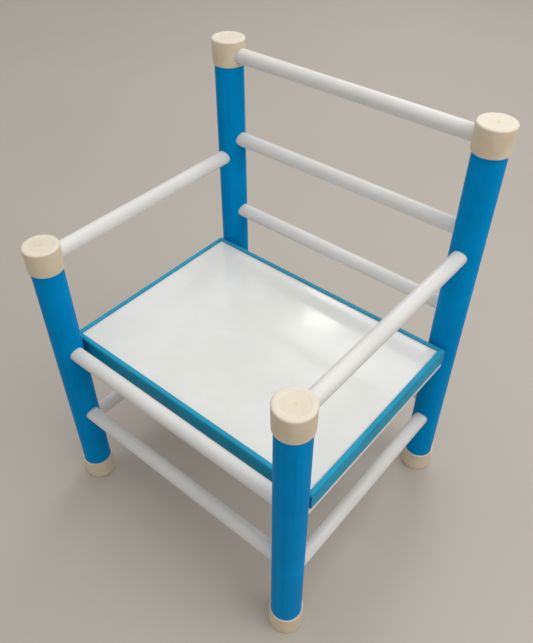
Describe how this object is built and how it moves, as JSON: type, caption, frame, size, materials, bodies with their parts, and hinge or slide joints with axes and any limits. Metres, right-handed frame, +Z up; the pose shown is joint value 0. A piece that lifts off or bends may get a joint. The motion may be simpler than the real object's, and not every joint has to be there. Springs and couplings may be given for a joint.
{
  "type": "small armchair",
  "caption": "Small open-frame armchair: capped round posts, plain round rails as arms, back and stretchers, and a flat edged seat board.",
  "frame": {"origin": "on the floor, under the middle of the chair's footprint", "axes": "+Z up, +Y towards the back of the chair, +X to the right of a person who faces its front"},
  "size_m": [0.534, 0.48, 0.732],
  "materials": {
    "blue_pipe": "glossy rigid plastic pipe, strong blue",
    "white_pipe": "semi-gloss rigid plastic pipe, off-white",
    "cream_cap": "satin moulded plastic, cream",
    "white_board": "board faced with a smooth white laminate",
    "blue_edging": "satin plastic channel, blue",
    "zinc_screw": "zinc-plated steel"
  },
  "bodies": {
    "root": {"post_front_left": "blue_pipe", "post_front_right": "blue_pipe", "post_back_left": "blue_pipe", "post_back_right": "blue_pipe", "cap_front_left": "cream_cap", "cap_front_right": "cream_cap", "cap_back_left": "cream_cap", "cap_back_right": "cream_cap", "foot_front_left": "cream_cap", "foot_front_right": "cream_cap", "foot_back_left": "cream_cap", "foot_back_right": "cream_cap", "front_seat_rail": "white_pipe", "front_stretcher": "white_pipe", "back_top_rail": "white_pipe", "back_middle_rail": "white_pipe", "back_lower_rail": "white_pipe", "back_stretcher": "white_pipe", "arm_rail_left": "white_pipe", "arm_rail_right": "white_pipe", "side_seat_rail_left": "white_pipe", "side_seat_rail_right": "white_pipe", "side_stretcher_left": "white_pipe", "side_stretcher_right": "white_pipe", "seat_board": "white_board", "seat_edging_front": "blue_edging", "seat_edging_back": "blue_edging", "seat_edging_left": "blue_edging", "seat_edging_right": "blue_edging", "seat_screw_front_left": "zinc_screw", "seat_screw_front_right": "zinc_screw", "seat_screw_back_left": "zinc_screw", "seat_screw_back_right": "zinc_screw"}
  },
  "joints": []
}
